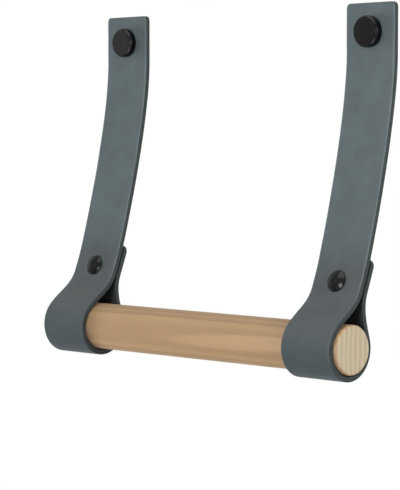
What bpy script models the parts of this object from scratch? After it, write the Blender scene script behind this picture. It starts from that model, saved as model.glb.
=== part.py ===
"""Toilet roll holder: a wooden dowel carried in the riveted loops of two leather straps.

Each strap is clamped to the wall under a turned knob, bows away from the wall on its way
down, wraps the dowel and is riveted to itself. The dowel slides out endways to take a roll.
+X runs along the dowel, +Y into the wall and +Z up. The origin lies on the wall, midway
between the two knob axes.
"""

import math

import bmesh
import bpy
from mathutils import Matrix, Quaternion, Vector

MM = 0.001

# Layout
STRAP_SPACING = 143.0 * MM
SEAT_GAP = 0.3 * MM
CUT_OVERRUN = 2.0 * MM

# Leather straps
STRAP_WIDTH = 25.5 * MM
LEATHER = 2.4 * MM
EDGE_ROUND = 0.5 * MM
TOP_ABOVE_KNOB = 11.7 * MM
FLAT_BELOW_KNOB = 9.0 * MM
TOP_CORNER_RADIUS = 2.0 * MM
TAIL_CORNER_RADIUS = 3.5 * MM

# Bow from the wall down to the rivet: where the rivet sits and how the leather gets there.
# The leather lies flat under the upper part of the rivet and bends from just inside its lower rim.
RIVET_DROP = 100.0 * MM
RIVET_STANDOFF = 20.9 * MM
RIVET_LEAN = math.radians(21.0)
BOW_TOP_REACH = 28.0 * MM
BOW_FOOT_REACH = 3.8 * MM
BEND_INSIDE_RIM = 1.8 * MM
TAIL_ABOVE_RIVET = 11.2 * MM

# Loop round the dowel, which hangs a neck's height below the rivet and a little in front of it
NECK_DROP = 15.5 * MM
DOWEL_AHEAD = 7.9 * MM
FRONT_WRAP = math.radians(44.0)
BACK_WRAP = math.radians(17.0)
REACH_SHARE = 0.36

# Wooden dowel
DOWEL_DIAMETER = 20.0 * MM
DOWEL_OVERHANG = 1.5 * MM
DOWEL_CHAMFER = 0.6 * MM

# Wall knobs: a flat head in front of the leather and a threaded neck through it
KNOB_DIAMETER = 12.8 * MM
KNOB_HEAD = 3.3 * MM
KNOB_FACE_CHAMFER = 0.8 * MM
KNOB_BACK_CHAMFER = 0.2 * MM
KNOB_NECK_DIAMETER = 6.4 * MM
KNOB_FACE_WALL = 0.9 * MM

# Hanger bolts: a machine thread into the knob and a wood thread into the plug
BOLT_DIAMETER = 4.0 * MM
BOLT_SHANK_DIAMETER = 3.4 * MM
BOLT_IN_WALL = 26.0 * MM
BOLT_SHOULDER_DEPTH = 3.0 * MM
BOLT_TIP = 4.0 * MM
BOLT_END_CHAMFER = 0.4 * MM

# Wall plugs: a sleeve with ribs, split from its nose, whose narrow collar clears the hole in
# the leather, so that the strap lies flat round it
PLUG_DIAMETER = 6.0 * MM
PLUG_LENGTH = 30.0 * MM
PLUG_COLLAR_DIAMETER = 6.8 * MM
PLUG_COLLAR = 0.9 * MM
PLUG_RIB_DEPTH = 0.35 * MM
PLUG_RIB_PITCH = 3.0 * MM
PLUG_PLAIN = 5.0 * MM
PLUG_NOSE = 3.5 * MM
PLUG_NOSE_WALL = 0.3 * MM
PLUG_SLIT = 0.8 * MM

# Rivets: a domed cap with a socket in front, a domed cap with a stem behind
RIVET_DIAMETER = 9.0 * MM
RIVET_DOME = 1.9 * MM
RIVET_RIM = 0.5 * MM
RIVET_BACK_DOME = 1.2 * MM
RIVET_STEM_DIAMETER = 2.6 * MM
RIVET_SOCKET_WALL = 0.6 * MM
RIVET_CROWN = 0.7 * MM

# Facets
ROUND_STEPS = 48
SMALL_STEPS = 32
DOME_STEPS = 6
EDGE_STEPS = 2
CORNER_STEPS = 5
BOW_STEPS = 16
NECK_STEPS = 8
LOOP_STEPS = 34
TAIL_STEPS = 9
SHARP_ANGLE = math.radians(30.0)
WELD = SEAT_GAP / 100

# Sizes that follow from the ones above
DOWEL_LENGTH = STRAP_SPACING + STRAP_WIDTH + 2 * DOWEL_OVERHANG
DOWEL_RADIUS = DOWEL_DIAMETER / 2
PLY_PITCH = LEATHER + SEAT_GAP
LOOP_RADIUS = DOWEL_RADIUS + SEAT_GAP + LEATHER / 2
KNOB_HEAD_BACK = LEATHER + SEAT_GAP
KNOB_FACE = KNOB_HEAD_BACK + KNOB_HEAD
THREAD_END = KNOB_FACE - KNOB_FACE_WALL
SIDES = {"left": -1, "right": 1}
OUTWARD = Vector((0, -1, 0))

LOOKS = {
    "strap": ((0.128, 0.155, 0.165), 0.62, 0.0),
    "dowel": ((0.62, 0.48, 0.29), 0.55, 0.0),
    "knob": ((0.018, 0.019, 0.02), 0.42, 0.6),
    "hanger_bolt": ((0.55, 0.55, 0.53), 0.35, 1.0),
    "wall_plug": ((0.45, 0.45, 0.44), 0.6, 0.0),
    "rivet_cap": ((0.02, 0.021, 0.022), 0.32, 0.7),
    "rivet_post": ((0.02, 0.021, 0.022), 0.36, 0.7),
}


def clear_scene():
    for obj in list(bpy.data.objects):
        bpy.data.objects.remove(obj)


def make_object(name, bm, look=None):
    """A mesh object from bm, with a material of its own when it has a look."""
    bmesh.ops.recalc_face_normals(bm, faces=bm.faces)
    mesh = bpy.data.meshes.new(name)
    bm.to_mesh(mesh)
    bm.free()
    mesh.shade_smooth()
    mesh.set_sharp_from_angle(angle=SHARP_ANGLE)
    obj = bpy.data.objects.new(name, mesh)
    bpy.context.scene.collection.objects.link(obj)
    if look:
        colour, roughness, metallic = LOOKS[look]
        material = bpy.data.materials.new(name)
        material.use_nodes = True
        shader = material.node_tree.nodes["Principled BSDF"]
        shader.inputs["Base Color"].default_value = (*colour, 1.0)
        shader.inputs["Roughness"].default_value = roughness
        shader.inputs["Metallic"].default_value = metallic
        mesh.materials.append(material)
    return obj


def cut(obj, cutter):
    """Subtracts the cutter, which stays in the file as a wire guide."""
    cutter.hide_render = True
    cutter.display_type = "WIRE"
    modifier = obj.modifiers.new(cutter.name, "BOOLEAN")
    modifier.operation = "DIFFERENCE"
    modifier.solver = "EXACT"
    modifier.object = cutter


def turned(outline, steps):
    """A closed outline of (radius, height) points turned about the Z axis.

    A side that lies on the axis itself sweeps nothing and is left out.
    """
    bm = bmesh.new()
    verts = [bm.verts.new((radius, 0, height)) for radius, height in outline]
    sides = list(zip(verts, verts[1:] + verts[:1]))
    edges = [bm.edges.new(side) for side in sides if max(vert.co.x for vert in side) > 0]
    bmesh.ops.spin(
        bm,
        geom=verts + edges,
        cent=(0, 0, 0),
        axis=(0, 0, 1),
        angle=math.tau,
        steps=steps,
        use_merge=True,
        use_duplicate=False,
    )
    bmesh.ops.remove_doubles(bm, verts=bm.verts, dist=WELD)
    return bm


def dome(radius, rim, height, base):
    """Outline of a domed cap from its rim to its crown: an ellipse quarter on a short wall."""
    points = [(radius, base), (radius, base + rim)]
    for step in range(1, DOME_STEPS + 1):
        angle = math.pi / 2 * step / DOME_STEPS
        away = radius * math.cos(angle) if step < DOME_STEPS else 0
        points.append((away, base + rim + (height - rim) * math.sin(angle)))
    return points


def slope(lean):
    """Unit direction in the (y, z) plane that runs down and away from the wall by a lean."""
    return Vector((-math.sin(lean), -math.cos(lean)))


def wall_side(heading):
    """Unit normal on the side of the leather that faces the wall, and the dowel in the loop."""
    return Vector((-heading.y, heading.x))


def bezier(start, start_heading, end, end_heading, reach_out, reach_in, steps):
    """Points and headings of a cubic curve, without its start."""
    first = start + start_heading * reach_out
    last = end - end_heading * reach_in
    stations = []
    for step in range(1, steps + 1):
        t = step / steps
        u = 1 - t
        point = start * u**3 + first * 3 * u * u * t + last * 3 * u * t * t + end * t**3
        heading = (first - start) * u * u + (last - first) * 2 * u * t + (end - last) * t * t
        stations.append((point, heading.normalized()))
    return stations


def dowel_axis():
    """The dowel's centre in the (y, z) plane."""
    drop = RIVET_DROP + NECK_DROP + DOWEL_RADIUS
    return Vector((-RIVET_STANDOFF - DOWEL_AHEAD, -drop))


def rivet_point():
    """The middle of the front ply, in the (y, z) plane, where the rivet goes through."""
    return Vector((-RIVET_STANDOFF, -RIVET_DROP))


def strap_route():
    """The leather's middle line as (point, heading) stations, from its top edge to its tail."""
    down = slope(0)
    lean = slope(RIVET_LEAN)
    top = Vector((-LEATHER / 2, TOP_ABOVE_KNOB))
    bow_top = Vector((top.x, -FLAT_BELOW_KNOB))
    route = [(top, down), (bow_top, down)]

    rim = RIVET_DIAMETER / 2
    seat_top = rivet_point() - lean * (rim + SEAT_GAP)
    seat_foot = rivet_point() + lean * (rim - BEND_INSIDE_RIM)
    route += bezier(bow_top, down, seat_top, lean, BOW_TOP_REACH, BOW_FOOT_REACH, BOW_STEPS)
    route.append((seat_foot, lean))

    centre = dowel_axis()
    sweep = FRONT_WRAP + math.pi + BACK_WRAP
    loop = []
    for step in range(LOOP_STEPS + 1):
        angle = FRONT_WRAP - sweep * step / LOOP_STEPS
        away = Vector((-math.cos(angle), math.sin(angle)))
        heading = Vector((-math.sin(angle), -math.cos(angle)))
        loop.append((centre + away * LOOP_RADIUS, heading))
    front, front_heading = loop[0]
    reach = (front - seat_foot).length * REACH_SHARE
    route += bezier(seat_foot, lean, front, front_heading, reach, reach, NECK_STEPS)
    route += loop[1:]

    behind = wall_side(lean) * PLY_PITCH
    tail_foot = seat_foot + behind
    back, back_heading = loop[-1]
    reach = (tail_foot - back).length * REACH_SHARE
    route += bezier(back, back_heading, tail_foot, -lean, reach, reach, TAIL_STEPS)
    route.append((rivet_point() + behind - lean * TAIL_ABOVE_RIVET, -lean))
    return route


def end_stations(route, radius):
    """Extra stations that round the two corners at the start of a route.

    Each is (point, heading, half width, half thickness); the first lies on the end itself.
    """
    start, heading = route[0]
    stations = []
    for step in range(CORNER_STEPS):
        angle = math.pi / 2 * step / CORNER_STEPS
        inset = radius * (1 - math.cos(math.pi / 2 - angle))
        along = radius * (1 - math.cos(angle))
        thin = EDGE_ROUND if step == 0 else 0
        half_width = STRAP_WIDTH / 2 - inset
        stations.append((start + heading * along, heading, half_width, LEATHER / 2 - thin))
    stations.append((start + heading * radius, heading, STRAP_WIDTH / 2, LEATHER / 2))
    return stations


def section(half_width, half_thickness):
    """Offsets (across, towards the wall) round a strip with rounded long edges."""
    radius = EDGE_ROUND
    points = []
    for quarter, (sign_x, sign_n) in enumerate(((1, 1), (-1, 1), (-1, -1), (1, -1))):
        centre_x = sign_x * (half_width - radius)
        centre_n = sign_n * max(half_thickness - radius, 0)
        for step in range(EDGE_STEPS + 1):
            angle = math.pi / 2 * (quarter + step / EDGE_STEPS)
            points.append((centre_x + radius * math.cos(angle), centre_n + radius * math.sin(angle)))
    return points


def strap_mesh():
    """A strip of leather swept along its route, with its four corners rounded."""
    route = strap_route()
    top = end_stations(route, TOP_CORNER_RADIUS)
    turned_back = [(point, -heading) for point, heading in reversed(route)]
    tail = [
        (point, -heading, half_width, half_thickness)
        for point, heading, half_width, half_thickness in end_stations(turned_back, TAIL_CORNER_RADIUS)
    ]
    middle = [(point, heading, STRAP_WIDTH / 2, LEATHER / 2) for point, heading in route[1:-1]]
    stations = top + middle + tail[::-1]

    bm = bmesh.new()
    rings = []
    for point, heading, half_width, half_thickness in stations:
        normal = wall_side(heading)
        ring = []
        for across, towards in section(half_width, half_thickness):
            spot = point + normal * towards
            ring.append(bm.verts.new((across, spot.x, spot.y)))
        rings.append(ring)
    for ring, following in zip(rings, rings[1:]):
        for index, vert in enumerate(ring):
            beside = (index + 1) % len(ring)
            bm.faces.new((vert, ring[beside], following[beside], following[index]))
    bm.faces.new(rings[0])
    bm.faces.new(reversed(rings[-1]))
    return bm


def place(obj, x, point=None, axis=None):
    """Moves an object to x and a (y, z) point, and turns its local Z onto an axis."""
    y, z = point if point else (0, 0)
    obj.rotation_mode = "QUATERNION"
    obj.rotation_quaternion = Vector((0, 0, 1)).rotation_difference(axis) if axis else Quaternion()
    obj.location = (x, y, z)


def rivet_axis():
    """The rivet's axis, square to the leather and pointing out to the front."""
    behind = wall_side(slope(RIVET_LEAN))
    return Vector((0, -behind.x, -behind.y))


def hole_cutter(name, radius, low, high):
    """A cylinder along Z that overruns both faces it cuts."""
    outline = [
        (0, low - CUT_OVERRUN),
        (radius, low - CUT_OVERRUN),
        (radius, high + CUT_OVERRUN),
        (0, high + CUT_OVERRUN),
    ]
    return make_object(name, turned(outline, SMALL_STEPS))


def make_strap(side, x):
    strap = make_object(f"{side}_strap", strap_mesh(), "strap")
    place(strap, x)
    neck_hole = hole_cutter(f"{side}_neck_hole", KNOB_NECK_DIAMETER / 2 + SEAT_GAP, 0, LEATHER)
    place(neck_hole, x, None, OUTWARD)
    cut(strap, neck_hole)
    socket_radius = RIVET_STEM_DIAMETER / 2 + SEAT_GAP + RIVET_SOCKET_WALL
    low = -LEATHER / 2 - PLY_PITCH
    rivet_hole = hole_cutter(f"{side}_rivet_hole", socket_radius + SEAT_GAP, low, LEATHER / 2)
    place(rivet_hole, x, rivet_point(), rivet_axis())
    cut(strap, rivet_hole)


def make_dowel():
    """A plain rod with broken edges, lying along X on its own axis."""
    half = DOWEL_LENGTH / 2
    outline = [
        (0, -half),
        (DOWEL_RADIUS - DOWEL_CHAMFER, -half),
        (DOWEL_RADIUS, -half + DOWEL_CHAMFER),
        (DOWEL_RADIUS, half - DOWEL_CHAMFER),
        (DOWEL_RADIUS - DOWEL_CHAMFER, half),
        (0, half),
    ]
    dowel = make_object("dowel", turned(outline, ROUND_STEPS), "dowel")
    place(dowel, 0, dowel_axis(), Vector((1, 0, 0)))


def make_knob(side, x):
    """A round head with a neck through the leather, bored from behind for the bolt."""
    head = KNOB_DIAMETER / 2
    neck = KNOB_NECK_DIAMETER / 2
    bore = BOLT_DIAMETER / 2 + SEAT_GAP
    outline = [
        (bore, SEAT_GAP),
        (neck, SEAT_GAP),
        (neck, KNOB_HEAD_BACK),
        (head - KNOB_BACK_CHAMFER, KNOB_HEAD_BACK),
        (head, KNOB_HEAD_BACK + KNOB_BACK_CHAMFER),
        (head, KNOB_FACE - KNOB_FACE_CHAMFER),
        (head - KNOB_FACE_CHAMFER, KNOB_FACE),
        (0, KNOB_FACE),
        (0, THREAD_END),
        (bore, THREAD_END),
    ]
    knob = make_object(f"{side}_knob", turned(outline, ROUND_STEPS), "knob")
    place(knob, x, None, OUTWARD)


def make_hanger_bolt(side, x):
    """A headless bolt: thread into the knob in front, pointed shank into the plug behind."""
    thread = BOLT_DIAMETER / 2
    shank = BOLT_SHANK_DIAMETER / 2
    end = THREAD_END - SEAT_GAP
    outline = [
        (0, -BOLT_IN_WALL),
        (shank, -BOLT_IN_WALL + BOLT_TIP),
        (shank, -BOLT_SHOULDER_DEPTH),
        (thread, -BOLT_SHOULDER_DEPTH + (thread - shank)),
        (thread, end - BOLT_END_CHAMFER),
        (thread - BOLT_END_CHAMFER, end),
        (0, end),
    ]
    bolt = make_object(f"{side}_hanger_bolt", turned(outline, SMALL_STEPS), "hanger_bolt")
    place(bolt, x, None, OUTWARD)


def make_wall_plug(side, x):
    """A sleeve with a collar and saw-tooth ribs, split crosswise from its nose."""
    bore = BOLT_DIAMETER / 2 + SEAT_GAP
    radius = PLUG_DIAMETER / 2
    front = -SEAT_GAP
    collar_back = front - PLUG_COLLAR
    ribbed = PLUG_LENGTH - PLUG_PLAIN - PLUG_NOSE
    ribs = round(ribbed / PLUG_RIB_PITCH)
    pitch = ribbed / ribs
    nose = front - PLUG_LENGTH
    outline = [(bore, front), (PLUG_COLLAR_DIAMETER / 2, front)]
    outline += [(PLUG_COLLAR_DIAMETER / 2, collar_back), (radius, collar_back)]
    start = front - PLUG_PLAIN
    for rib in range(ribs):
        outline.append((radius, start - pitch * rib))
        outline.append((radius - PLUG_RIB_DEPTH, start - pitch * rib))
    outline += [(radius, nose + PLUG_NOSE), (bore + PLUG_NOSE_WALL, nose), (bore, nose)]
    plug = make_object(f"{side}_wall_plug", turned(outline, SMALL_STEPS), "wall_plug")
    place(plug, x, None, OUTWARD)
    slit_length = PLUG_LENGTH - PLUG_PLAIN + CUT_OVERRUN
    for turn, name in enumerate(("slit", "cross_slit")):
        bm = bmesh.new()
        bmesh.ops.create_cube(bm, size=1)
        size = (PLUG_SLIT, PLUG_DIAMETER + 2 * CUT_OVERRUN, slit_length)
        bmesh.ops.scale(bm, vec=size, verts=bm.verts)
        middle = front - PLUG_PLAIN - slit_length / 2
        bmesh.ops.translate(bm, vec=(0, 0, middle), verts=bm.verts)
        bmesh.ops.rotate(bm, matrix=Matrix.Rotation(math.pi / 2 * turn, 3, "Z"), verts=bm.verts)
        cutter = make_object(f"{side}_plug_{name}", bm)
        place(cutter, x, None, OUTWARD)
        cut(plug, cutter)


def make_rivet(side, x):
    """A front cap whose socket takes the stem of the back cap."""
    radius = RIVET_DIAMETER / 2
    stem = RIVET_STEM_DIAMETER / 2
    socket_bore = stem + SEAT_GAP
    socket = socket_bore + RIVET_SOCKET_WALL
    face = LEATHER / 2 + SEAT_GAP
    crown = face + RIVET_DOME - RIVET_CROWN
    foot = -LEATHER / 2
    outline = [(0, crown), (socket_bore, crown), (socket_bore, foot), (socket, foot), (socket, face)]
    outline += dome(radius, RIVET_RIM, RIVET_DOME, face)
    cap = make_object(f"{side}_rivet_cap", turned(outline, SMALL_STEPS), "rivet_cap")
    place(cap, x, rivet_point(), rivet_axis())

    back = LEATHER / 2 + PLY_PITCH + SEAT_GAP
    top = crown - SEAT_GAP
    outline = [(0, top), (stem, top), (stem, -back)]
    outline += [(away, -height) for away, height in dome(radius, RIVET_RIM, RIVET_BACK_DOME, back)]
    post = make_object(f"{side}_rivet_post", turned(outline, SMALL_STEPS), "rivet_post")
    place(post, x, rivet_point(), rivet_axis())


def main():
    clear_scene()
    make_dowel()
    for side, sign in SIDES.items():
        x = sign * STRAP_SPACING / 2
        make_strap(side, x)
        make_knob(side, x)
        make_hanger_bolt(side, x)
        make_wall_plug(side, x)
        make_rivet(side, x)


main()
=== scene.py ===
"""The looks of the toilet roll holder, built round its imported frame.

Two leather straps hang from black knobs and carry a wooden dowel in their riveted loops. Each
solid of the frame is stood for by a finer mesh in the same place, on the same body.
+X runs along the dowel, +Y into the wall and +Z up; lengths are in metres.
"""

import math
from itertools import product

import bpy
import numpy as np
from mathutils import Matrix, Vector, noise


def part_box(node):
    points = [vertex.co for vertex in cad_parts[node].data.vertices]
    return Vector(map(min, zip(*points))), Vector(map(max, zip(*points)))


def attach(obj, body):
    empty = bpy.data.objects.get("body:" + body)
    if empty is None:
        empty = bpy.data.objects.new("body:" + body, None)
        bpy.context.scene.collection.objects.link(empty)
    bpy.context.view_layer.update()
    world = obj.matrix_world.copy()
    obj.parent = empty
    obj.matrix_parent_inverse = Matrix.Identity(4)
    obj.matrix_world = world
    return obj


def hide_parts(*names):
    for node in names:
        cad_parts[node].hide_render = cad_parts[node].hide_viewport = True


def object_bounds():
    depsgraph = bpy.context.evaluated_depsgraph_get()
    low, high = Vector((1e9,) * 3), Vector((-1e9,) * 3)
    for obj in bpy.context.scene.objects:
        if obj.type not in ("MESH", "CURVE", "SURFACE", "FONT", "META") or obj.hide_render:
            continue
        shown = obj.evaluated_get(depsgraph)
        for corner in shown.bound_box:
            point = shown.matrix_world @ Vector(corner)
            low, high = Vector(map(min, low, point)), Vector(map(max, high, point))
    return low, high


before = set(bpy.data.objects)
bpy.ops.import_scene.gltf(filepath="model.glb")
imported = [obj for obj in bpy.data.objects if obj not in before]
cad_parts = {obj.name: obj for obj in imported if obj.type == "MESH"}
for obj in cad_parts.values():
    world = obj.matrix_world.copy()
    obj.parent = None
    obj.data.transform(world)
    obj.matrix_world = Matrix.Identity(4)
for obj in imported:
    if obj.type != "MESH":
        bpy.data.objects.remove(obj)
cad_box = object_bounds()

MM = 0.001
SEAT_GAP = 0.3 * MM

# Leather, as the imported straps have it
LEATHER = 2.4 * MM
EDGE_ROUND = 0.5 * MM
LEAST_ROUNDING = 0.0125 * MM
FLAT_BELOW_KNOB = 9.0 * MM
TOP_CORNER_RADIUS = 2.0 * MM
TAIL_CORNER_RADIUS = 3.5 * MM
RIVET_DROP = 100.0 * MM
RIVET_STANDOFF = 20.9 * MM
RIVET_LEAN = math.radians(21.0)
BOW_TOP_REACH = 28.0 * MM
BOW_FOOT_REACH = 3.8 * MM
BEND_INSIDE_RIM = 1.8 * MM
TAIL_ABOVE_RIVET = 11.2 * MM
FRONT_WRAP = math.radians(44.0)
BACK_WRAP = math.radians(17.0)
REACH_SHARE = 0.36
PLY_PITCH = LEATHER + SEAT_GAP

# Leather's own surface: swellings round the metal, hand-cut edges, slow unevenness
KNOB_SWELL = 0.16 * MM
RIVET_SWELL = 0.2 * MM
SWELL_FADE = 2.6 * MM
EDGE_WANDER = 0.14 * MM
FACE_WANDER = 0.07 * MM
FLESH_WANDER = 0.08 * MM
WANDER_LENGTH = 13.0 * MM
FLESH_LENGTH = 1.6 * MM
WANDER_SEEDS = {"left": 3.7, "right": 11.3}

# Black edge paint is whole round the loop and rubbed thin higher up
LOOP_PAINT_LEVEL = -106.0 * MM
WORN_PAINT_LEVEL = -72.0 * MM

# The face carries painted shade: browner and darker above the loop, and darker still where it
# bends round the dowel; a painted highlight runs lighter along its long edges down to the loop
SHADE_TOP_LEVEL = -74.0 * MM
SHADE_FULL_LEVEL = -98.0 * MM
NECK_LEVEL = -116.0 * MM
LOOP_SHADE_FULL_LEVEL = -130.0 * MM
EDGE_HIGHLIGHT_WIDTH = 1.1 * MM
EDGE_HIGHLIGHT_SHARE = 0.8
LOOP_EDGE_HIGHLIGHT_SHARE = 0.15

# Middle of a noise, over which most textures change from one tone or roughness to the other
NOISE_RANGE = (0.3, 0.7)

# Leather's tones, deepest and lightest, each unshaded, in painted shade above the loop, and in
# deeper painted shade round it
DEEP_TONES = ((0.103, 0.135, 0.143), (0.084, 0.1, 0.104), (0.055, 0.073, 0.08))
LIGHT_TONES = ((0.125, 0.16, 0.168), (0.101, 0.119, 0.123), (0.068, 0.089, 0.098))
EDGE_HIGHLIGHT_TONE = (0.165, 0.2, 0.208)
FLESH_TONES = ((0.012, 0.014, 0.015), (0.03, 0.034, 0.036))
PAINT_TONES = ((0.033, 0.041, 0.042), (0.055, 0.066, 0.067))
RUBBED_PAINT = (0.043, 0.058, 0.057)
BACK_PAINT = (0.006, 0.008, 0.008)

# Leather's texture: sizes across, shares, and depth
MOTTLE_SIZE = 9.0 * MM
MOTTLE_SHARE = 0.65
SPECKLE_SIZE = 0.7 * MM
NAP_SIZE = 0.5 * MM
RAGGED_SIZE = 1.4 * MM
RAGGED_SHARE = 0.16
PAINT_SIZE = 3.0 * MM
PORE_SIZE = 0.55 * MM
PORE_RIM = 0.12
PORE_DEPTH = 0.05 * MM

# Ranges over which the flesh side and the edge paint take over, and the leather's roughness
FLESH_RANGE = (0.35, 0.6)
PAINT_RANGE = (0.5, 0.95)
BACK_PAINT_RANGE = (0.2, 0.6)
FACE_ROUGHNESS = (0.6, 0.5)
FACE_ROUGHNESS_RANGE = (0.25, 0.75)
FLESH_ROUGHNESS = 0.92

# Shares of the strap's length between which each layer's rivet hole lies
FRONT_LAYER_SHARES = (0.3, 0.7)
BACK_LAYER_SHARES = (0.8, 1.0)

# Holes through the leather
NECK_HOLE_RADIUS = 3.5 * MM
RIVET_HOLE_RADIUS = 2.5 * MM
HOLE_OVERRUN = 2.0 * MM

# Knob
KNOB_DIAMETER = 12.8 * MM
KNOB_HEAD = 3.3 * MM
KNOB_NECK_DIAMETER = 6.4 * MM
KNOB_FACE_WALL = 0.9 * MM
KNOB_CHAMFER = 0.8 * MM
KNOB_BEVEL = 0.38 * MM
KNOB_BACK_CHAMFER = 0.2 * MM
KNOB_ROUND = 0.12 * MM
KNOB_HEAD_BACK = LEATHER + SEAT_GAP
KNOB_FACE = KNOB_HEAD_BACK + KNOB_HEAD
THREAD_END = KNOB_FACE - KNOB_FACE_WALL

# Hanger bolt
BOLT_DIAMETER = 4.0 * MM
BOLT_SHANK_DIAMETER = 3.4 * MM
BOLT_IN_WALL = 26.0 * MM
BOLT_SHOULDER_DEPTH = 3.0 * MM
BOLT_TIP = 4.0 * MM
BOLT_END_CHAMFER = 0.4 * MM
FINE_PITCH = 0.7 * MM
FINE_DEPTH = 0.36 * MM
COARSE_PITCH = 1.8 * MM
COARSE_DEPTH = 0.55 * MM
FLANK_SLOPE = 1.25
COARSE_SHARPNESS = 1.6
FINE_START_SHARE = 0.4
TIP_RADIUS = 0.05 * MM

# Wall plug
PLUG_DIAMETER = 6.0 * MM
PLUG_LENGTH = 30.0 * MM
PLUG_COLLAR_DIAMETER = 6.8 * MM
PLUG_COLLAR = 0.9 * MM
PLUG_RIB_DEPTH = 0.35 * MM
PLUG_RIB_PITCH = 3.0 * MM
PLUG_PLAIN = 5.0 * MM
PLUG_NOSE = 3.5 * MM
PLUG_NOSE_WALL = 0.3 * MM
PLUG_SLIT = 0.8 * MM
PLUG_ROUND = 0.12 * MM

# Rivet
RIVET_DIAMETER = 9.0 * MM
RIVET_DOME = 1.9 * MM
RIVET_RIM = 0.5 * MM
RIVET_BACK_DOME = 1.2 * MM
RIVET_STEM_DIAMETER = 2.6 * MM
RIVET_SOCKET_WALL = 0.6 * MM
RIVET_CROWN = 0.7 * MM
RIVET_RIM_ROUND = 0.2 * MM

# Dowel
DOWEL_CHAMFER = 0.6 * MM
DOWEL_ROUND = 0.35 * MM

# Its tree: where the pith lies from the dowel's axis, a year's growth, and how far rings sway
PITH_BEHIND = 150.0 * MM
PITH_ABOVE = 4.0 * MM
YEAR_RING = 2.7 * MM
RING_SWAY = 4.0 * MM

# Wood's tones: pale wood on the sides and on the ends, late wood on both, and flecks
SIDE_TONES = ((0.54, 0.337, 0.17), (0.605, 0.39, 0.208))
END_TONES = ((0.6, 0.5, 0.335), (0.66, 0.555, 0.385))
LATE_TONES = ((0.42, 0.255, 0.13), (0.45, 0.36, 0.225))
FLECK_TONE = (0.33, 0.22, 0.13)

# Wood's texture: sizes across the grain, the rate along the grain as a share, and depth
SWAY_SIZE = 14.0 * MM
SWAY_ALONG = 0.09
STREAK_SIZE = 0.34 * MM
STREAK_ALONG = 0.035
BLUSH_SIZE = 6.0 * MM
BLUSH_ALONG = 0.12
GRAIN_DEPTH = 0.05 * MM

# Parts of a year ring where late wood comes and goes, its share and height, the ranges over
# which flecks and end grain take over, and the wood's roughness
LATE_COMES = (0.35, 0.86)
LATE_GOES = (1.0, 0.9)
LATE_SHARE = 0.66
LATE_HEIGHT = 0.6
FLECK_RANGE = (0.55, 0.78)
FLECK_SHARE = 0.4
END_RANGE = (0.6, 1.0)
WOOD_ROUGHNESS = (0.52, 0.66)

# Black metals: roughness, tone and specular level
KNOB_BLACK = (0.22, (0.0015, 0.0015, 0.002), 0.15)
RIVET_BLACK = (0.2, (0.003, 0.0035, 0.004), 0.12)

# Black metals' smudges, turning marks and specks
SMUDGE_GAIN = 1.3
SMUDGE_SIZE = 3.2 * MM
SMUDGE_RANGE = (0.35, 0.7)
SMUDGE_ROUGHNESS = (-0.02, 0.03)
TURNING_SIZE = 0.16 * MM
TURNING_DEPTH = 0.012 * MM
METAL_SPECK_SIZE = 0.25 * MM
METAL_SPECK_SHARE = 0.5

# Plated steel and moulded nylon
STEEL_TONES = ((0.48, 0.485, 0.48), (0.63, 0.63, 0.61))
STEEL_ROUGHNESS = (0.26, 0.42)
STEEL_CLOUD_SIZE = 2.4 * MM
STEEL_GRAIN_SIZE = 0.2 * MM
STEEL_GRAIN_DEPTH = 0.01 * MM
NYLON_TONES = ((0.4, 0.405, 0.4), (0.5, 0.5, 0.485))
NYLON_ROUGHNESS = (0.5, 0.62)
NYLON_CLOUD_SIZE = 4.0 * MM
NYLON_GRAIN_SIZE = 0.3 * MM
NYLON_GRAIN_DEPTH = 0.03 * MM

# Mesh steps
STATION_SPACING = 0.55 * MM
SEARCH_STEP = 0.03 * MM
ROUTE_STEPS = 240
FACE_COLUMNS = 40
SIDE_COLUMNS = 3
EDGE_STEPS = 4
CORNER_STEPS = 10
TURN_STEPS = 128
SMALL_TURN_STEPS = 72
ROUND_STEPS = 5
DOME_STEPS = 18
DOWEL_END_RINGS = 6
THREAD_ROWS = 14
SHARP_ANGLE = math.radians(38.0)
BOX_FACES = [(0, 1, 3, 2), (4, 6, 7, 5), (0, 4, 5, 1), (2, 3, 7, 6), (0, 2, 6, 4), (1, 5, 7, 3)]

# Camera
CAMERA_PLACE = (0.59642, -0.62717, -0.0416)
CAMERA_YAW = math.radians(44.842)
CAMERA_PITCH = math.radians(3.111)
SENSOR = 36.0
IMAGE_HEIGHT = 490
FOCAL_PIXELS = 2016.6
CLIP_START = 0.05
CLIP_END = 20.0

# Stage
STAGE_HALF = 30.0
SQUARE = ((-1, -1), (1, -1), (1, 1), (-1, 1))
FLOOR_DROP = 0.9
FLOOR_GREY = 0.45
FLOOR_GLOW = 0.8
WALL_BEHIND = 0.1 * MM
WORLD_GREY = 0.31

# Square lamps: name, place, size, watts, and the kind of light that each leaves out
FRONT_PLACE = (0.27, -1.055, 0.02)
LAMPS = (
    ("key", (-0.55, -1.1, 0.42), 0.4, 0.9, None),
    ("side", (-2.9, -1.3, -0.7), 1.0, 70.0, "glossy"),
    ("front", FRONT_PLACE, 0.24, 2.6, None),
    ("glint", FRONT_PLACE, 0.26, 30.0, "diffuse"),
    ("fill", (1.2, -0.1, 0.1), 0.6, 8.5, None),
    ("sheen", (-0.95, -0.78, 0.05), 0.3, 0.27, None),
    ("ceiling", (0.05, -0.4, 1.0), 1.0, 14.5, "diffuse"),
    ("below", (0.3, -0.66, -0.82), 0.6, 9.0, "diffuse"),
)

OUTWARD = Matrix.Rotation(math.pi / 2, 4, "X")


def middle(node):
    """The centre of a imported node's box."""
    low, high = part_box(node)
    return (low + high) / 2


DOWEL_MIDDLE = middle("dowel")
DOWEL_RADIUS = (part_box("dowel")[1].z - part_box("dowel")[0].z) / 2
DOWEL_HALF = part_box("dowel")[1].x
LOOP_RADIUS = DOWEL_RADIUS + SEAT_GAP + LEATHER / 2
STRAP_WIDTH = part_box("left_strap")[1].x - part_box("left_strap")[0].x
STRAP_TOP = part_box("left_strap")[1].z


# Meshes


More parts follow.
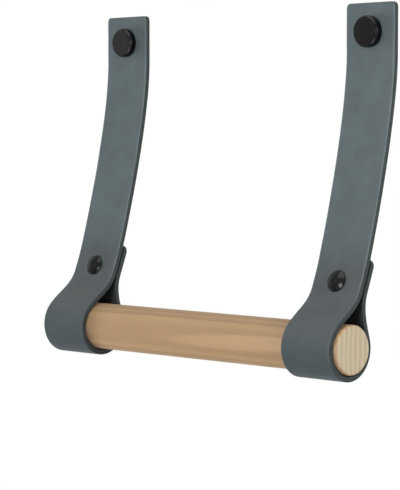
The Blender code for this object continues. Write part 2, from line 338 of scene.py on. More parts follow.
def mesh_of(name, verts, faces):
    mesh = bpy.data.meshes.new(name)
    mesh.from_pydata([tuple(vert) for vert in verts], [], faces)
    mesh.update()
    mesh.shade_smooth()
    mesh.set_sharp_from_angle(angle=SHARP_ANGLE)
    return mesh


def add_field(mesh, name, values):
    """A number for each vertex, which the piece's material reads."""
    field = mesh.attributes.new(name, "FLOAT", "POINT")
    field.data.foreach_set("value", np.asarray(values, np.float32))


def rounded(corners):
    """An outline of (radius, height, rounding) corners, each rounding drawn as a short curve."""
    outline = []
    for index, (radius, height, rounding) in enumerate(corners):
        corner = Vector((radius, height))
        if rounding == 0:
            outline.append(corner)
            continue
        before = Vector(corners[index - 1][:2])
        after = Vector(corners[(index + 1) % len(corners)][:2])
        start = corner + (before - corner).normalized() * rounding
        end = corner + (after - corner).normalized() * rounding
        for step in range(ROUND_STEPS + 1):
            t = step / ROUND_STEPS
            outline.append(start * (1 - t) ** 2 + corner * 2 * t * (1 - t) + end * t**2)
    return outline


def dome(radius, rim, height, base):
    """Corners of a domed cap from its underside to its crown: part of a ball on a short wall."""
    rise = height - rim
    ball = (radius**2 + rise**2) / (2 * rise)
    corners = [(radius, base, RIVET_RIM_ROUND), (radius, base + rim, RIVET_RIM_ROUND)]
    for step in range(1, DOME_STEPS + 1):
        away = radius * (1 - step / DOME_STEPS)
        corners.append((away, base + height - ball + math.sqrt(ball**2 - away**2), 0))
    return corners


def turned(name, outline, steps):
    """A closed outline turned about Z, where a point on the axis becomes a single vertex."""
    verts = []
    rings = []
    for radius, height in outline:
        count = steps if radius > 0 else 1
        rings.append(list(range(len(verts), len(verts) + count)))
        for step in range(count):
            angle = math.tau * step / steps
            verts.append((radius * math.cos(angle), radius * math.sin(angle), height))
    faces = []
    for ring, following in zip(rings, rings[1:] + rings[:1]):
        if len(ring) == 1 and len(following) == 1:
            continue
        for step in range(steps):
            beside = (step + 1) % steps
            near = [ring[step % len(ring)], ring[beside % len(ring)]]
            far = [following[beside % len(following)], following[step % len(following)]]
            faces.append(list(dict.fromkeys(near + far)))
    mesh = mesh_of(name, verts, faces)
    add_field(mesh, "turning", [math.hypot(vert[0], vert[1]) for vert in verts])
    return mesh


def threaded(name, rows, radius_at, steps):
    """A rod along Z whose radius depends on the height and the angle, closed at both ends."""
    verts = [(0, 0, rows[0])]
    for height in rows:
        for step in range(steps):
            angle = math.tau * step / steps
            radius = radius_at(height, angle)
            verts.append((radius * math.cos(angle), radius * math.sin(angle), height))
    verts.append((0, 0, rows[-1]))
    last = len(verts) - 1
    faces = []
    for step in range(steps):
        beside = (step + 1) % steps
        faces.append((0, 1 + beside, 1 + step))
        faces.append((last, last - steps + step, last - steps + beside))
        for row in range(len(rows) - 1):
            low = 1 + row * steps
            high = low + steps
            faces.append((low + step, low + beside, high + beside, high + step))
    return mesh_of(name, verts, faces)


def cut_away(obj, cutters):
    """Subtracts the cutters from a piece for good and deletes them."""
    for cutter in cutters:
        modifier = obj.modifiers.new(cutter.name, "BOOLEAN")
        modifier.operation = "DIFFERENCE"
        modifier.solver = "EXACT"
        modifier.object = cutter
    graph = bpy.context.evaluated_depsgraph_get()
    cut_mesh = bpy.data.meshes.new_from_object(obj.evaluated_get(graph))
    obj.modifiers.clear()
    obj.data = cut_mesh
    cut_mesh.set_sharp_from_angle(angle=SHARP_ANGLE)
    for cutter in cutters:
        bpy.data.objects.remove(cutter)


def new_object(name, mesh, turn=Matrix.Identity(4)):
    mesh.transform(turn)
    obj = bpy.data.objects.new(name, mesh)
    bpy.context.scene.collection.objects.link(obj)
    return obj


def dress(obj, material, node, body):
    """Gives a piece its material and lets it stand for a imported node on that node's body."""
    obj.data.materials.clear()
    obj.data.materials.append(material)
    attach(obj, body)
    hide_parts(node)


# Strap's route in the (y, z) plane


def slope(lean):
    """Direction that runs down and away from the wall by a lean."""
    return Vector((-math.sin(lean), -math.cos(lean)))


def wall_side(heading):
    """Normal on the side that faces the wall above, and the dowel in the loop."""
    return Vector((-heading.y, heading.x))


def bezier(start, start_heading, end, end_heading, reach_out, reach_in):
    """Points of a cubic curve, without its start."""
    first = start + start_heading * reach_out
    last = end - end_heading * reach_in
    points = []
    for step in range(1, ROUTE_STEPS + 1):
        t = step / ROUTE_STEPS
        u = 1 - t
        points.append(start * u**3 + first * 3 * u * u * t + last * 3 * u * t * t + end * t**3)
    return points


RIVET_POINT = Vector((-RIVET_STANDOFF, -RIVET_DROP))
RIVET_LINE = slope(RIVET_LEAN)
RIVET_BEHIND = wall_side(RIVET_LINE) * PLY_PITCH


def route():
    """The leather's middle line, from its top edge round the dowel to the end of its tail."""
    down = slope(0)
    bow_top = Vector((-LEATHER / 2, -FLAT_BELOW_KNOB))
    seat_top = RIVET_POINT - RIVET_LINE * (RIVET_DIAMETER / 2 + SEAT_GAP)
    seat_foot = RIVET_POINT + RIVET_LINE * (RIVET_DIAMETER / 2 - BEND_INSIDE_RIM)
    points = [Vector((-LEATHER / 2, STRAP_TOP)), bow_top]
    points += bezier(bow_top, down, seat_top, RIVET_LINE, BOW_TOP_REACH, BOW_FOOT_REACH)
    points.append(seat_foot)

    centre = Vector((DOWEL_MIDDLE.y, DOWEL_MIDDLE.z))
    sweep = FRONT_WRAP + math.pi + BACK_WRAP
    loop = []
    headings = []
    for step in range(ROUTE_STEPS + 1):
        angle = FRONT_WRAP - sweep * step / ROUTE_STEPS
        loop.append(centre + Vector((-math.cos(angle), math.sin(angle))) * LOOP_RADIUS)
        headings.append(Vector((-math.sin(angle), -math.cos(angle))))
    reach = (loop[0] - seat_foot).length * REACH_SHARE
    points += bezier(seat_foot, RIVET_LINE, loop[0], headings[0], reach, reach)
    points += loop[1:]

    tail_foot = seat_foot + RIVET_BEHIND
    reach = (tail_foot - loop[-1]).length * REACH_SHARE
    points += bezier(loop[-1], headings[-1], tail_foot, -RIVET_LINE, reach, reach)
    points.append(RIVET_POINT + RIVET_BEHIND - RIVET_LINE * TAIL_ABOVE_RIVET)
    return np.array([tuple(point) for point in points])


class Line:
    """The route measured by its length."""

    def __init__(self):
        self.points = route()
        steps = np.diff(self.points, axis=0)
        self.marks = np.concatenate(([0], np.cumsum(np.hypot(steps[:, 0], steps[:, 1]))))
        self.length = self.marks[-1]

    def at(self, marks):
        return np.stack([np.interp(marks, self.marks, self.points[:, axis]) for axis in (0, 1)], 1)

    def headings(self, marks):
        near = np.clip(marks - STATION_SPACING / 4, 0, self.length)
        far = np.clip(marks + STATION_SPACING / 4, 0, self.length)
        run = self.at(far) - self.at(near)
        return run / np.hypot(run[:, 0], run[:, 1])[:, None]

    def nearest(self, point, low_share, high_share):
        """The mark nearest a point, between two shares of the length."""
        marks = np.arange(self.length * low_share, self.length * high_share, SEARCH_STEP)
        away = self.at(marks) - np.array(tuple(point))
        return marks[np.argmin(np.hypot(away[:, 0], away[:, 1]))]


def ring_plan():
    """Columns round a strap's section, each as shares of the flat half sizes and of the rounding.

    A column is (across flat, across rounding, towards flat, towards rounding).
    """
    columns = []
    for quarter, (sign_x, sign_n) in enumerate(((1, 1), (-1, 1), (-1, -1), (1, -1))):
        for step in range(EDGE_STEPS + 1):
            angle = math.pi / 2 * (quarter + step / EDGE_STEPS)
            columns.append((sign_x, math.cos(angle), sign_n, math.sin(angle)))
        count = SIDE_COLUMNS if quarter % 2 else FACE_COLUMNS
        for step in range(1, count):
            share = 1 - 2 * step / count
            if quarter % 2:
                columns.append((sign_x, sign_x, sign_n * share, 0))
            else:
                columns.append((sign_x * share, 0, sign_n, sign_n))
    return np.array(columns)


def end_marks(corner_radius):
    """Distances from an end of the strap that draw its rounded rim and corners."""
    turns = np.linspace(0, math.pi / 2, CORNER_STEPS + 1)
    rim = EDGE_ROUND * (1 - np.cos(turns[: CORNER_STEPS : 2]))
    corner = corner_radius * (1 - np.cos(turns[1:]))
    return np.unique(np.concatenate((rim, corner[corner > rim[-1]])))


def inset_of(away, radius):
    """How far a rounded corner draws the edge in, at a distance from the end."""
    short = np.clip(radius - away, 0, radius)
    return radius - np.sqrt(radius**2 - short**2)


def wander(first, second, seed):
    return noise.noise(Vector((first, second, seed)))


def swelling(distance, rim, height):
    """Leather squeezed up round a metal head: full under the rim, fading outwards."""
    fade = np.clip((distance - rim) / SWELL_FADE, 0, 1)
    return height * (1 - fade * fade * (3 - 2 * fade))


def strap_marks(line):
    """Where the strap's sections stand: close together at its rounded ends, even between them."""
    top_marks = end_marks(TOP_CORNER_RADIUS)
    tail_marks = line.length - end_marks(TAIL_CORNER_RADIUS)[::-1]
    count = round((tail_marks[0] - top_marks[-1]) / STATION_SPACING)
    run = np.linspace(top_marks[-1], tail_marks[0], count + 1)[1:-1]
    return np.concatenate((top_marks, run, tail_marks))


def even_sections(line, marks, plan):
    """Even leather: how far each vertex lies across the strap and towards its wall side."""
    from_top = marks
    from_tail = line.length - marks
    rim = inset_of(np.minimum(from_top, from_tail), EDGE_ROUND)
    corner = inset_of(from_top, TOP_CORNER_RADIUS) + inset_of(from_tail, TAIL_CORNER_RADIUS)
    rounding = np.maximum(EDGE_ROUND - rim, LEAST_ROUNDING)
    half_width = STRAP_WIDTH / 2 - corner
    half_thick = LEATHER / 2 - rim
    across = plan[:, 0] * (half_width - rounding)[:, None] + plan[:, 1] * rounding[:, None]
    towards = plan[:, 2] * (half_thick - rounding)[:, None] + plan[:, 3] * rounding[:, None]
    return across, towards


def real_sections(line, marks, plan, seed):
    """Real leather: even sections with swellings, a rough flesh side and hand-cut edges."""
    across, towards = even_sections(line, marks, plan)
    mark_grid = np.repeat(marks[:, None], len(plan), 1)
    from_knob = np.hypot(across, mark_grid - STRAP_TOP)
    front_rivet = line.nearest(RIVET_POINT, *FRONT_LAYER_SHARES)
    back_rivet = line.nearest(RIVET_POINT + RIVET_BEHIND, *BACK_LAYER_SHARES)
    rise = swelling(from_knob, KNOB_DIAMETER / 2, KNOB_SWELL)
    for rivet in (front_rivet, back_rivet):
        from_rivet = np.hypot(across, mark_grid - rivet)
        rise = rise + swelling(from_rivet, RIVET_DIAMETER / 2, RIVET_SWELL)

    slow = np.vectorize(lambda s, x: wander(s / WANDER_LENGTH, x / WANDER_LENGTH, seed))
    quick = np.vectorize(lambda s, x: wander(s / FLESH_LENGTH, x / FLESH_LENGTH, seed))
    grain_side = np.clip(-plan[:, 3], 0, 1)
    outward = (rise + FACE_WANDER * slow(mark_grid, across)) * grain_side
    inward = FLESH_WANDER * (0.5 + 0.5 * quick(mark_grid, across)) * flesh_side(plan)
    edge_draw = EDGE_WANDER * (0.5 + 0.5 * slow(mark_grid, np.sign(across) * STRAP_WIDTH))
    across = across - np.sign(across) * edge_draw * np.abs(plan[:, 1])
    return across, towards - outward - inward


def flesh_side(plan):
    """1 for the columns on the leather's rough side, 0 on its face, and between on the edges."""
    return np.clip(plan[:, 3], 0, 1)


def strap_mesh(side, x):
    """The strap's section swept along its route and closed at both ends."""
    line = Line()
    marks = strap_marks(line)
    plan = ring_plan()
    across, towards = real_sections(line, marks, plan, WANDER_SEEDS[side])
    points = line.at(marks)
    headings = line.headings(marks)
    normals = np.stack((-headings[:, 1], headings[:, 0]), 1)
    y = points[:, 0, None] + normals[:, 0, None] * towards
    z = points[:, 1, None] + normals[:, 1, None] * towards
    verts = np.stack((across + x, y, z), 2).reshape(-1, 3)

    size = len(plan)
    faces = [list(range(size))[::-1], list(range(len(verts) - size, len(verts)))]
    for row in range(len(marks) - 1):
        low = row * size
        for column in range(size):
            beside = (column + 1) % size
            faces.append((low + column, low + beside, low + size + beside, low + size + column))
    mesh = mesh_of(f"{side}_strap_leather", verts, faces)
    ends = np.clip(1 - np.minimum(marks, line.length - marks) / EDGE_ROUND, 0, 1)
    add_field(mesh, "edge", np.maximum(np.abs(plan[:, 1]), ends[:, None]).ravel())
    add_field(mesh, "flesh", np.tile(flesh_side(plan), len(marks)))
    return mesh


# Materials


class Nodes:
    """A node tree whose nodes are added by short calls."""

    def __init__(self, tree):
        self.tree = tree

    def node(self, kind, **settings):
        made = self.tree.nodes.new(kind)
        for name, value in settings.items():
            setattr(made, name, value)
        return made

    def feed(self, socket, value):
        if isinstance(value, bpy.types.NodeSocket):
            self.tree.links.new(value, socket)
        else:
            socket.default_value = value

    def tint(self, socket, colour):
        """Feeds a colour socket, with full opacity where the colour is written as numbers."""
        self.feed(socket, (*colour, 1.0) if isinstance(colour, tuple) else colour)

    def math(self, operation, first, second=0.0):
        made = self.node("ShaderNodeMath", operation=operation)
        self.feed(made.inputs[0], first)
        self.feed(made.inputs[1], second)
        return made.outputs[0]

    def mix(self, share, first, second):
        """A colour between two, or one over the other by a mask."""
        made = self.node("ShaderNodeMix", data_type="RGBA")
        self.feed(made.inputs[0], share)
        self.tint(made.inputs[6], first)
        self.tint(made.inputs[7], second)
        return made.outputs[2]

    def seen_directly(self):
        """1 for what is seen straight, mirrored or through glass, and 0 for plain lighting."""
        rays = self.node("ShaderNodeLightPath").outputs
        mirrored = self.math("MAXIMUM", rays["Is Glossy Ray"], rays["Is Transmission Ray"])
        return self.math("MAXIMUM", rays["Is Camera Ray"], mirrored)


class Look(Nodes):
    """A Principled material, with textures in the object's own coordinates."""

    def __init__(self, name, roughness=0.5, metallic=0.0, specular=0.5):
        self.material = bpy.data.materials.new(name)
        self.material.use_nodes = True
        super().__init__(self.material.node_tree)
        self.shader = self.tree.nodes["Principled BSDF"]
        self.shader.inputs["Roughness"].default_value = roughness
        self.shader.inputs["Metallic"].default_value = metallic
        self.shader.inputs["Specular IOR Level"].default_value = specular
        self.place = self.node("ShaderNodeTexCoord").outputs["Object"]

    def along_grain(self, rate):
        """Coordinates for wood: X, along the grain, changes at a share of its rate."""
        made = self.node("ShaderNodeVectorMath", operation="MULTIPLY")
        self.feed(made.inputs[0], self.place)
        self.feed(made.inputs[1], (rate, 1.0, 1.0))
        return made.outputs[0]

    def noise(self, size, detail=2.0, source=None, distortion=0.0):
        """Noise whose blotches are about one size across."""
        made = self.node("ShaderNodeTexNoise")
        self.feed(made.inputs["Vector"], source or self.place)
        self.feed(made.inputs["Scale"], 1 / size)
        self.feed(made.inputs["Detail"], detail)
        self.feed(made.inputs["Distortion"], distortion)
        return made.outputs["Fac"]

    def cell_edges(self, size):
        """How far a place is from the edge of its cell, in cells of one size."""
        made = self.node("ShaderNodeTexVoronoi", feature="DISTANCE_TO_EDGE")
        self.feed(made.inputs["Vector"], self.place)
        self.feed(made.inputs["Scale"], 1 / size)
        return made.outputs["Distance"]

    def between(self, value, low, high, low_out=0.0, high_out=1.0):
        """A value's range mapped onto another, clamped."""
        made = self.node("ShaderNodeMapRange", clamp=True, interpolation_type="SMOOTHSTEP")
        for socket, item in zip(made.inputs, (value, low, high, low_out, high_out)):
            self.feed(socket, item)
        return made.outputs["Result"]

    def field(self, name):
        return self.node("ShaderNodeAttribute", attribute_name=name).outputs["Fac"]

    def bump(self, height, depth, strength):
        made = self.node("ShaderNodeBump")
        self.feed(made.inputs["Strength"], strength)
        self.feed(made.inputs["Distance"], depth)
        self.feed(made.inputs["Height"], height)
        self.feed(self.shader.inputs["Normal"], made.outputs["Normal"])

    def colour(self, value):
        self.tint(self.shader.inputs["Base Color"], value)

    def roughness(self, value):
        self.feed(self.shader.inputs["Roughness"], value)

    def surface(self, shader):
        """Shows another shader in place of the Principled one."""
        self.feed(self.tree.nodes["Material Output"].inputs["Surface"], shader)


def leather_look():
    """Smooth slate leather with painted black edges and a dark, napped flesh side."""
    look = Look("slate_leather", specular=0.16)
    spot = look.node("ShaderNodeSeparateXYZ")
    look.feed(spot.inputs[0], look.place)
    height = spot.outputs[2]
    # Painted shade: the face is darker and browner lower down the strap, and darker still round
    # the loop
    shade_and_handling = look.between(height, SHADE_FULL_LEVEL, SHADE_TOP_LEVEL, 1.0, 0.0)
    loop_shade = look.between(height, LOOP_SHADE_FULL_LEVEL, NECK_LEVEL, 1.0, 0.0)
    deep, light = [
        look.mix(loop_shade, look.mix(shade_and_handling, unshaded_tone, shaded_tone), loop_shaded_tone)
        for unshaded_tone, shaded_tone, loop_shaded_tone in (DEEP_TONES, LIGHT_TONES)
    ]
    mottle = look.noise(MOTTLE_SIZE, detail=3.0)
    speckle = look.noise(SPECKLE_SIZE)
    blotches = look.math("MULTIPLY", mottle, MOTTLE_SHARE)
    tone = look.math("ADD", blotches, look.math("MULTIPLY", speckle, 1 - MOTTLE_SHARE))
    face = look.mix(look.between(tone, *NOISE_RANGE), deep, light)

    from_centre = look.math("ABSOLUTE", spot.outputs[0])
    off_middle = look.math("SUBTRACT", from_centre, middle("right_strap").x)
    inside = look.math("SUBTRACT", STRAP_WIDTH / 2, look.math("ABSOLUTE", off_middle))
    # Painted highlight: a lighter band along both long edges of the face, fading out round the
    # loop
    edge_highlight = look.between(inside, EDGE_HIGHLIGHT_WIDTH / 2, EDGE_HIGHLIGHT_WIDTH, 1.0, 0.0)
    share = look.between(height, LOOP_PAINT_LEVEL, SHADE_FULL_LEVEL, LOOP_EDGE_HIGHLIGHT_SHARE, EDGE_HIGHLIGHT_SHARE)
    highlighted_face = look.mix(look.math("MULTIPLY", edge_highlight, share), face, EDGE_HIGHLIGHT_TONE)

    nap = look.noise(NAP_SIZE, detail=4.0, distortion=0.6)
    flesh_field = look.field("flesh")
    flesh_mask = look.between(flesh_field, *FLESH_RANGE)
    faces = look.mix(flesh_mask, highlighted_face, look.mix(nap, *FLESH_TONES))

    rubbed = look.between(height, LOOP_PAINT_LEVEL, WORN_PAINT_LEVEL)
    black = look.mix(look.noise(PAINT_SIZE), *PAINT_TONES)
    dull = look.mix(rubbed, black, RUBBED_PAINT)
    paint = look.mix(look.between(flesh_field, *BACK_PAINT_RANGE), dull, BACK_PAINT)
    frayed = look.math("MULTIPLY", look.noise(RAGGED_SIZE), RAGGED_SHARE)
    ragged = look.math("ADD", look.field("edge"), frayed)
    look.colour(look.mix(look.between(ragged, *PAINT_RANGE), faces, paint))

    rough_face = look.between(tone, *FACE_ROUGHNESS_RANGE, *FACE_ROUGHNESS)
    rough_flesh = look.math("MULTIPLY", flesh_mask, FLESH_ROUGHNESS)
    look.roughness(look.math("MAXIMUM", rough_face, rough_flesh))
    pores = look.between(look.cell_edges(PORE_SIZE), 0.0, PORE_RIM)
    relief = look.math("ADD", pores, look.math("MULTIPLY", nap, flesh_mask))
    look.bump(relief, PORE_DEPTH, strength=0.35)
    return look.material


def wood_look():
    """Pale straight-grained wood: a wide trunk's rings on the ends, streaks along the sides."""
    look = Look("pale_wood", specular=0.3)
    pith = DOWEL_MIDDLE + Vector((0, PITH_BEHIND, PITH_ABOVE))
    from_pith = look.node("ShaderNodeVectorMath", operation="SUBTRACT")
    look.feed(from_pith.inputs[0], look.place)
    look.feed(from_pith.inputs[1], pith)
    split = look.node("ShaderNodeSeparateXYZ")
    look.feed(split.inputs[0], from_pith.outputs[0])
    across = look.node("ShaderNodeCombineXYZ")
    look.feed(across.inputs[1], split.outputs[1])
    look.feed(across.inputs[2], split.outputs[2])
    reach = look.node("ShaderNodeVectorMath", operation="LENGTH")
    look.feed(reach.inputs[0], across.outputs[0])
    sway = look.noise(SWAY_SIZE, detail=1.0, source=look.along_grain(SWAY_ALONG))
    year = look.math("ADD", reach.outputs["Value"], look.math("MULTIPLY", sway, RING_SWAY))
    turn = look.math("FRACT", look.math("DIVIDE", year, YEAR_RING))
    late = look.math("MULTIPLY", look.between(turn, *LATE_COMES), look.between(turn, *LATE_GOES))
    streaks = look.noise(STREAK_SIZE, detail=3.0, source=look.along_grain(STREAK_ALONG))
    blush = look.noise(BLUSH_SIZE, source=look.along_grain(BLUSH_ALONG))
    end = look.between(look.field("end_grain"), *END_RANGE)
    pale = look.mix(end, look.mix(blush, *SIDE_TONES), look.mix(blush, *END_TONES))
    dark = look.mix(end, *LATE_TONES)
    ringed = look.mix(look.math("MULTIPLY", late, LATE_SHARE), pale, dark)
    fleck = look.between(streaks, *FLECK_RANGE)
    look.colour(look.mix(look.math("MULTIPLY", fleck, FLECK_SHARE), ringed, FLECK_TONE))
    look.roughness(look.between(streaks, *NOISE_RANGE, *WOOD_ROUGHNESS))
    relief = look.math("ADD", streaks, look.math("MULTIPLY", late, LATE_HEIGHT))
    look.bump(relief, GRAIN_DEPTH, strength=0.4)
    return look.material


def black_metal_look(name, roughness, colour, specular):
    """Black finished metal with faint turning marks and a little handling."""
    look = Look(name, specular=specular)
    marks = look.node("ShaderNodeCombineXYZ")
    look.feed(marks.inputs[0], look.field("turning"))
    rings = look.noise(TURNING_SIZE, source=marks.outputs[0])
    smudge = look.noise(SMUDGE_SIZE, detail=3.0)
    speck = look.noise(METAL_SPECK_SIZE, detail=1.0)
    light = tuple(part * SMUDGE_GAIN for part in colour)
    look.colour(look.mix(look.between(smudge, *SMUDGE_RANGE), colour, light))
    shade_and_handling = [roughness + change for change in SMUDGE_ROUGHNESS]
    look.roughness(look.between(smudge, *NOISE_RANGE, *shade_and_handling))
    relief = look.math("ADD", rings, look.math("MULTIPLY", speck, METAL_SPECK_SHARE))
    look.bump(relief, TURNING_DEPTH, strength=0.3)
    return look.material


def steel_look():
    """Zinc-plated steel, slightly clouded."""
    look = Look("plated_steel", metallic=1.0)
    cloud = look.noise(STEEL_CLOUD_SIZE, detail=3.0)
    look.colour(look.mix(cloud, *STEEL_TONES))
    look.roughness(look.between(cloud, *NOISE_RANGE, *STEEL_ROUGHNESS))
    look.bump(look.noise(STEEL_GRAIN_SIZE), STEEL_GRAIN_DEPTH, strength=0.3)
    return look.material


def nylon_look():
    """Grey moulded nylon with a fine eroded texture."""
    look = Look("grey_nylon", specular=0.4)
    cloud = look.noise(NYLON_CLOUD_SIZE)
    look.colour(look.mix(cloud, *NYLON_TONES))
    look.roughness(look.between(cloud, *NOISE_RANGE, *NYLON_ROUGHNESS))
    look.bump(look.noise(NYLON_GRAIN_SIZE, detail=3.0), NYLON_GRAIN_DEPTH, strength=0.35)
    return look.material


# Pieces


def hole_cutter(name, radius, low, high, turn):
    outline = [(0, low), (radius, low), (radius, high), (0, high)]
    return new_object(name, turned(name, outline, SMALL_TURN_STEPS), turn)


def rivet_turn(x):
    """Stands a turned piece on the rivet's axis, its top to the front."""
    place = Matrix.Translation((x, RIVET_POINT.x, RIVET_POINT.y))
    return place @ Matrix.Rotation(math.pi / 2 - RIVET_LEAN, 4, "X")


def knob_turn(x):
    """Stands a turned piece on the knob's axis, its top to the front."""
    return Matrix.Translation((x, 0, 0)) @ OUTWARD


def make_strap(side, x, material):
    strap = new_object(f"{side}_strap_leather", strap_mesh(side, x))
    front = LEATHER + HOLE_OVERRUN
    neck = hole_cutter("neck_hole", NECK_HOLE_RADIUS, -HOLE_OVERRUN, front, knob_turn(x))
    low = -LEATHER / 2 - PLY_PITCH - HOLE_OVERRUN
    high = LEATHER / 2 + HOLE_OVERRUN
    rivet = hole_cutter("rivet_hole", RIVET_HOLE_RADIUS, low, high, rivet_turn(x))
    cut_away(strap, (neck, rivet))
    dress(strap, material, f"{side}_strap", "straps")


def make_dowel(material):
    """A turned rod with eased edges; its ends carry the mark of end grain."""
    corners = [(0, -DOWEL_HALF, 0)]
    face = DOWEL_RADIUS - DOWEL_CHAMFER
    inner = range(1, DOWEL_END_RINGS)
    corners += [(face * step / DOWEL_END_RINGS, -DOWEL_HALF, 0) for step in inner]
    corners += [(face, -DOWEL_HALF, DOWEL_ROUND)]
    corners += [(DOWEL_RADIUS, -DOWEL_HALF + DOWEL_CHAMFER, DOWEL_ROUND)]
    corners += [(radius, -height, rounding) for radius, height, rounding in reversed(corners)]
    place = Matrix.Translation((0, DOWEL_MIDDLE.y, DOWEL_MIDDLE.z))
    mesh = turned("dowel_rod", rounded(corners), TURN_STEPS)
    heights = np.array([vert.co.z for vert in mesh.vertices])
    edge = DOWEL_HALF - DOWEL_CHAMFER
    add_field(mesh, "end_grain", np.clip((np.abs(heights) - edge) / DOWEL_CHAMFER, 0, 1))
    dowel = new_object("dowel_rod", mesh, place @ Matrix.Rotation(math.pi / 2, 4, "Y"))
    dress(dowel, material, "dowel", "dowel")


def make_knob(side, x, material):
    head = KNOB_DIAMETER / 2
    neck = KNOB_NECK_DIAMETER / 2
    bore = BOLT_DIAMETER / 2 + SEAT_GAP
    corners = [
        (bore, SEAT_GAP, 0),
        (neck, SEAT_GAP, KNOB_ROUND),
        (neck, KNOB_HEAD_BACK, 0),
        (head - KNOB_BACK_CHAMFER, KNOB_HEAD_BACK, 0),
        (head, KNOB_HEAD_BACK + KNOB_BACK_CHAMFER, KNOB_ROUND),
        (head, KNOB_FACE - KNOB_CHAMFER, KNOB_ROUND),
        (head - KNOB_CHAMFER / 4, KNOB_FACE - KNOB_BEVEL, KNOB_ROUND),
        (head - KNOB_CHAMFER / 4 - KNOB_BEVEL, KNOB_FACE, KNOB_ROUND),
        (neck, KNOB_FACE, 0),
        (0, KNOB_FACE, 0),
        (0, THREAD_END, 0),
        (bore, THREAD_END, 0),
    ]
    mesh = turned(f"{side}_knob_head", rounded(corners), TURN_STEPS)
    knob = new_object(f"{side}_knob_head", mesh, knob_turn(x))
    dress(knob, material, f"{side}_knob", f"{side}_knob")


def ridge(height, angle, pitch):
    """Height of a thread's ridge, from 0 in its root to 1 on its crest."""
    turn = (height / pitch + angle / math.tau) % 1
    return max(0, 1 - abs(2 * turn - 1) * FLANK_SLOPE)


def make_bolt(side, x, material):
    """A fine machine thread in front of the shoulder and a coarse wood thread behind it."""
    crest = BOLT_DIAMETER / 2
    shank = BOLT_SHANK_DIAMETER / 2
    end = THREAD_END - SEAT_GAP
    tip = -BOLT_IN_WALL

    def radius_at(height, angle):
        if height > -BOLT_SHOULDER_DEPTH:
            run_in = (end - height) / FINE_PITCH + FINE_START_SHARE
            fade = min(1, (height + BOLT_SHOULDER_DEPTH) / FINE_PITCH, run_in)
            body = crest - FINE_DEPTH * fade * (1 - ridge(height, angle, FINE_PITCH))
            return min(body, crest - BOLT_END_CHAMFER + (end - height))
        taper = min(1, (height - tip) / BOLT_TIP)
        near = min(1, (-BOLT_SHOULDER_DEPTH - height) / COARSE_PITCH)
        thread = ridge(height, angle, COARSE_PITCH) ** COARSE_SHARPNESS
        return max(TIP_RADIUS, taper * (shank - COARSE_DEPTH * near * (1 - thread)))

    coarse = np.arange(tip, -BOLT_SHOULDER_DEPTH, COARSE_PITCH / THREAD_ROWS)
    fine = np.arange(-BOLT_SHOULDER_DEPTH, end, FINE_PITCH / THREAD_ROWS)
    rows = [*coarse, *fine[1:-1], end]
    mesh = threaded(f"{side}_bolt_threads", rows, radius_at, SMALL_TURN_STEPS)
    bolt = new_object(f"{side}_bolt_threads", mesh, knob_turn(x))
    dress(bolt, material, f"{side}_hanger_bolt", "straps")


def make_plug(side, x, material):
    """A ribbed sleeve split crosswise from its nose."""
    bore = BOLT_DIAMETER / 2 + SEAT_GAP
    radius = PLUG_DIAMETER / 2
    collar = PLUG_COLLAR_DIAMETER / 2
    front = -SEAT_GAP
    nose = front - PLUG_LENGTH
    ribbed = PLUG_LENGTH - PLUG_PLAIN - PLUG_NOSE
    ribs = round(ribbed / PLUG_RIB_PITCH)
    pitch = ribbed / ribs
    corners = [
        (bore, front, PLUG_ROUND),
        (collar, front, PLUG_ROUND),
        (collar, front - PLUG_COLLAR, PLUG_ROUND),
        (radius, front - PLUG_COLLAR, 0),
    ]
    start = front - PLUG_PLAIN
    for rib in range(ribs):
        corners.append((radius, start - pitch * rib, PLUG_ROUND))
        corners.append((radius - PLUG_RIB_DEPTH, start - pitch * rib, PLUG_ROUND))
    corners += [
        (radius, nose + PLUG_NOSE, PLUG_ROUND),
        (bore + PLUG_NOSE_WALL, nose, PLUG_ROUND),
        (bore, nose, 0),
    ]
    mesh = turned(f"{side}_plug_sleeve", rounded(corners[::-1]), SMALL_TURN_STEPS)
    plug = new_object(f"{side}_plug_sleeve", mesh, knob_turn(x))
    slit_length = PLUG_LENGTH - PLUG_PLAIN + HOLE_OVERRUN
    cutters = []
    for turn in range(2):
        half = (PLUG_SLIT / 2, radius + HOLE_OVERRUN, slit_length / 2)
        verts = list(product(*((-reach, reach) for reach in half)))
        place = Matrix.Translation((0, 0, front - PLUG_PLAIN - slit_length / 2))
        spin = Matrix.Rotation(math.pi / 2 * turn, 4, "Z")
        slit = mesh_of("slit", verts, BOX_FACES)
        cutters.append(new_object(f"slit_{turn}", slit, knob_turn(x) @ place @ spin))
    cut_away(plug, cutters)
    dress(plug, material, f"{side}_wall_plug", "straps")


def make_rivet(side, x, material):
    radius = RIVET_DIAMETER / 2
    stem = RIVET_STEM_DIAMETER / 2
    bore = stem + SEAT_GAP
    socket = bore + RIVET_SOCKET_WALL
    face = LEATHER / 2 + SEAT_GAP
    crown = face + RIVET_DOME - RIVET_CROWN
    foot = -LEATHER / 2
    corners = [(0, crown, 0), (bore, crown, 0)]
    corners += [(bore, foot, 0), (socket, foot, 0), (socket, face, 0)]
    corners += dome(radius, RIVET_RIM, RIVET_DOME, face)
    mesh = turned(f"{side}_rivet_dome", rounded(corners), SMALL_TURN_STEPS)
    cap = new_object(f"{side}_rivet_dome", mesh, rivet_turn(x))
    dress(cap, material, f"{side}_rivet_cap", "straps")

    back = LEATHER / 2 + PLY_PITCH + SEAT_GAP
    corners = [(0, crown - SEAT_GAP, 0), (stem, crown - SEAT_GAP, 0), (stem, -back, 0)]
    behind = dome(radius, RIVET_RIM, RIVET_BACK_DOME, back)
    corners += [(away, -height, rounding) for away, height, rounding in behind]
    mesh = turned(f"{side}_rivet_back", rounded(corners), SMALL_TURN_STEPS)
    post = new_object(f"{side}_rivet_back", mesh, rivet_turn(x))
    dress(post, material, f"{side}_rivet_post", "straps")


# Stage


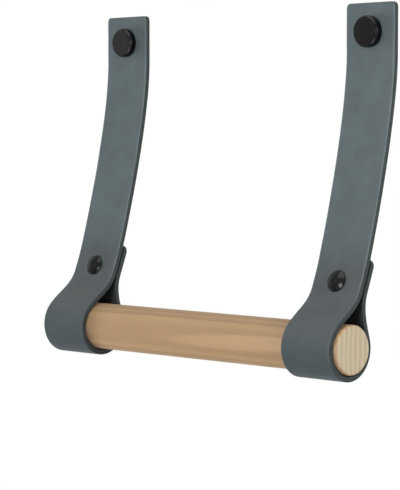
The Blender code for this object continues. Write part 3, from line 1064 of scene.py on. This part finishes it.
def make_floor():
    """A pale floor below the holder, white to the camera but for the shadow on it."""
    low = cad_box[0].z - FLOOR_DROP
    verts = [(sx * STAGE_HALF, sy * STAGE_HALF, low) for sx, sy in SQUARE]
    floor = new_object("floor", mesh_of("floor", verts, [(0, 1, 2, 3)]))
    look = Look("pale_floor", roughness=0.9, specular=0.1)
    look.colour((FLOOR_GREY,) * 3)
    glow = look.node("ShaderNodeEmission")
    look.feed(glow.inputs["Strength"], look.math("MULTIPLY", look.seen_directly(), FLOOR_GLOW))
    total = look.node("ShaderNodeAddShader")
    look.feed(total.inputs[0], look.shader.outputs[0])
    look.feed(total.inputs[1], glow.outputs[0])
    look.surface(total.outputs[0])
    floor.data.materials.append(look.material)


def make_wall():
    """A white wall just behind the straps, which hides the plugs in it from the room's side.

    It is only there to look at, straight or mirrored: other light passes through it, and from
    behind it is clear, so that the plugs can be seen.
    """
    verts = [(sx * STAGE_HALF, WALL_BEHIND, sz * STAGE_HALF) for sx, sz in SQUARE]
    wall = new_object("wall", mesh_of("wall", verts, [(0, 1, 2, 3)]))
    look = Look("white_wall")
    clear = look.node("ShaderNodeBsdfTransparent")
    white = look.node("ShaderNodeEmission")
    back = look.node("ShaderNodeNewGeometry").outputs["Backfacing"]
    from_room = look.math("SUBTRACT", 1.0, back)
    blend = look.node("ShaderNodeMixShader")
    look.feed(blend.inputs[0], look.math("MULTIPLY", look.seen_directly(), from_room))
    look.feed(blend.inputs[1], clear.outputs[0])
    look.feed(blend.inputs[2], white.outputs[0])
    look.surface(blend.outputs[0])
    wall.data.materials.append(look.material)


def make_world():
    """The studio's surroundings: white to look at, as the wall is, and a grey light."""
    world = bpy.data.worlds.new("studio")
    world.use_nodes = True
    nodes = Nodes(world.node_tree)
    blend = nodes.mix(nodes.seen_directly(), (WORLD_GREY,) * 3, (1.0, 1.0, 1.0))
    nodes.feed(world.node_tree.nodes["Background"].inputs["Color"], blend)
    bpy.context.scene.world = world


def make_lamp(name, place, target, size, watts, left_out):
    """A square soft lamp aimed at a point, without the kind of light that it leaves out."""
    lamp = bpy.data.lights.new(name, "AREA")
    lamp.size = size
    lamp.energy = watts
    obj = bpy.data.objects.new(name, lamp)
    obj.location = place
    obj.rotation_euler = (target - Vector(place)).to_track_quat("-Z", "Y").to_euler()
    obj.visible_glossy = left_out != "glossy"
    obj.visible_diffuse = left_out != "diffuse"
    bpy.context.scene.collection.objects.link(obj)


def make_camera():
    camera = bpy.data.cameras.new("camera")
    camera.sensor_width = SENSOR
    camera.lens = FOCAL_PIXELS * SENSOR / IMAGE_HEIGHT
    camera.clip_start = CLIP_START
    camera.clip_end = CLIP_END
    obj = bpy.data.objects.new("camera", camera)
    obj.location = CAMERA_PLACE
    obj.rotation_euler = (math.pi / 2 - CAMERA_PITCH, 0, CAMERA_YAW)
    bpy.context.scene.collection.objects.link(obj)
    bpy.context.scene.camera = obj


def main():
    leather = leather_look()
    knob_black = black_metal_look("satin_black", *KNOB_BLACK)
    rivet_black = black_metal_look("gunmetal_black", *RIVET_BLACK)
    steel = steel_look()
    nylon = nylon_look()
    make_dowel(wood_look())
    for side in ("left", "right"):
        x = middle(f"{side}_strap").x
        make_strap(side, x, leather)
        make_knob(side, x, knob_black)
        make_bolt(side, x, steel)
        make_plug(side, x, nylon)
        make_rivet(side, x, rivet_black)
    make_floor()
    make_wall()
    make_world()
    aim = (cad_box[0] + cad_box[1]) / 2
    for name, place, size, watts, left_out in LAMPS:
        make_lamp(name, place, aim, size, watts, left_out)
    make_camera()
    bpy.context.scene.view_settings.view_transform = "Standard"


main()
